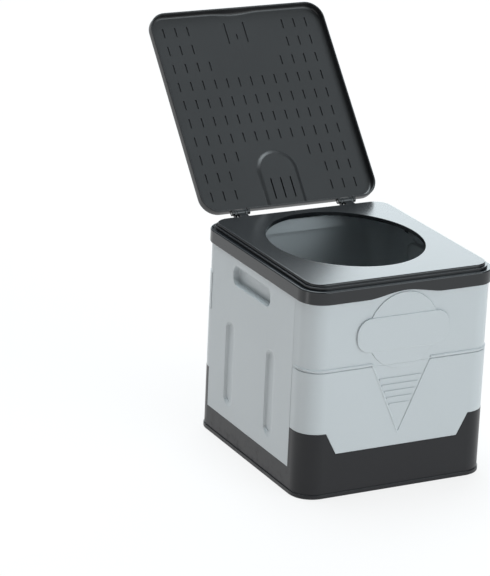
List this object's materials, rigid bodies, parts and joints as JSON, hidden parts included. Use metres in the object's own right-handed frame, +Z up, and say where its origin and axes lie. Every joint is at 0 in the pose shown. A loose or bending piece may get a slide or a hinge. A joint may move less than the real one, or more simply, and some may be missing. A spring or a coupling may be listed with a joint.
{
  "type": "portable camp toilet",
  "caption": "Collapsible box-shaped camp toilet with a dark notched base, light folding walls, an oval seat opening and a lid that tips back.",
  "frame": {"origin": "middle of the base's underside, on the floor", "axes": "-Y is the front with the badge, +X is to the right when facing the front, +Z is up"},
  "size_m": [0.29, 0.5352, 0.5382],
  "materials": {
    "wall_plastic": "satin light blue-grey polypropylene",
    "base_plastic": "satin charcoal polypropylene",
    "frame_plastic": "satin charcoal polypropylene",
    "seat_plastic": "semi-gloss charcoal polypropylene",
    "lid_plastic": "satin charcoal polypropylene",
    "hinge_steel": "plain drawn rod"
  },
  "bodies": {
    "box": {"base_tray": "base_plastic", "front_panel_lower": "wall_plastic", "front_panel_upper": "wall_plastic", "rear_panel_lower": "wall_plastic", "rear_panel_upper": "wall_plastic", "top_frame": "frame_plastic", "front_base_hinge_rod": "hinge_steel", "front_fold_hinge_rod": "hinge_steel", "front_frame_hinge_rod": "hinge_steel", "rear_base_hinge_rod": "hinge_steel", "rear_fold_hinge_rod": "hinge_steel", "rear_frame_hinge_rod": "hinge_steel", "left_panel_hinge_rod": "hinge_steel", "right_panel_hinge_rod": "hinge_steel", "left_seat_hinge_pin": "hinge_steel", "right_seat_hinge_pin": "hinge_steel"},
    "left_side": {"left_side_panel": "wall_plastic"},
    "right_side": {"right_side_panel": "wall_plastic"},
    "seat": {"seat_plate": "seat_plastic"},
    "lid": {"lid": "lid_plastic"}
  },
  "joints": [
    {"name": "seat_hinge", "type": "hinge", "parent": "box", "child": "seat", "pos_m": [0, 0.1632, 0.3002], "axis": [-1, 0, 0], "range_deg": [0, 95]},
    {"name": "lid_hinge", "type": "hinge", "parent": "seat", "child": "lid", "pos_m": [0, 0.1632, 0.3002], "axis": [1, 0, 0], "range_deg": [0, 131.5]},
    {"name": "left_panel_swing", "type": "hinge", "parent": "box", "child": "left_side", "pos_m": [-0.1392, 0, 0.28], "axis": [0, -1, 0], "range_deg": [0, 90]},
    {"name": "right_panel_swing", "type": "hinge", "parent": "box", "child": "right_side", "pos_m": [0.1392, 0, 0.2753], "axis": [0, 1, 0], "range_deg": [0, 74]}
  ]
}
